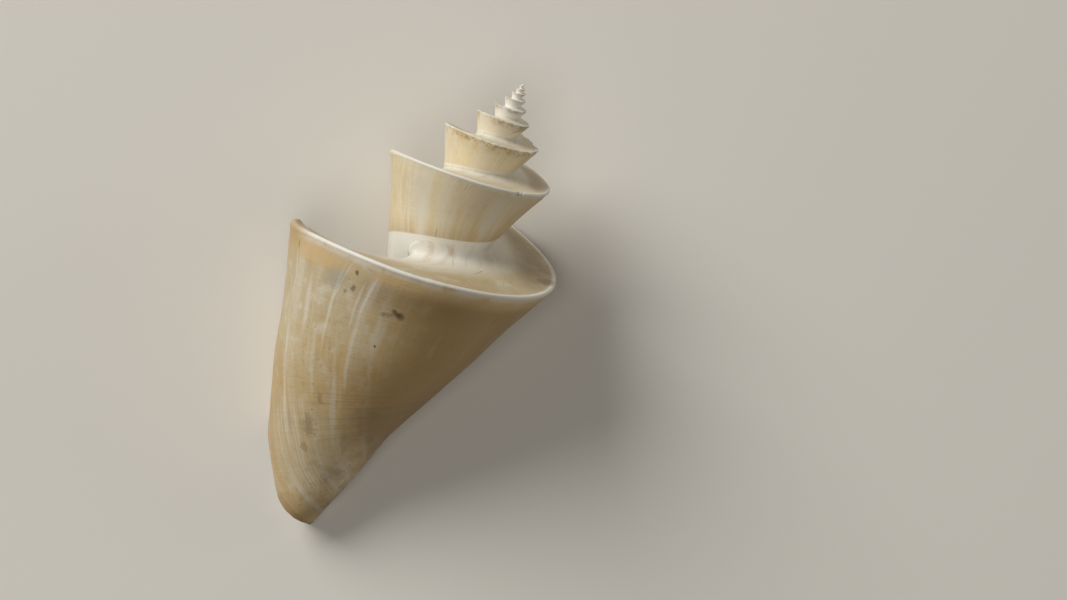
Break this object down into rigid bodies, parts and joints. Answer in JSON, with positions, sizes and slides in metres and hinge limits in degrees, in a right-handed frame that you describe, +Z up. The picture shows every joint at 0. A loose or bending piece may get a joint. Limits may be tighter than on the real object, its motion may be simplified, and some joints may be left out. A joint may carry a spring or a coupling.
{
  "type": "thatcheria mirabilis shell",
  "caption": "Spired sea snail shell with a sharp keel, a wide sloping ramp, an open aperture and a slender pillar, lying on its aperture.",
  "frame": {"origin": "centre of the shell's footprint box on the surface it rests on", "axes": "+Y from the tip of the pillar towards the spire, along the shell's length; +Z up from the aperture, which faces the floor, to the back of the last whorl; +X to the side away from the lip"},
  "size_m": [0.0508, 0.093, 0.0402],
  "materials": {
    "shell": "satin, cream and tan, with a white porcelain keel"
  },
  "bodies": {
    "root": {"shell": "shell"}
  },
  "joints": []
}
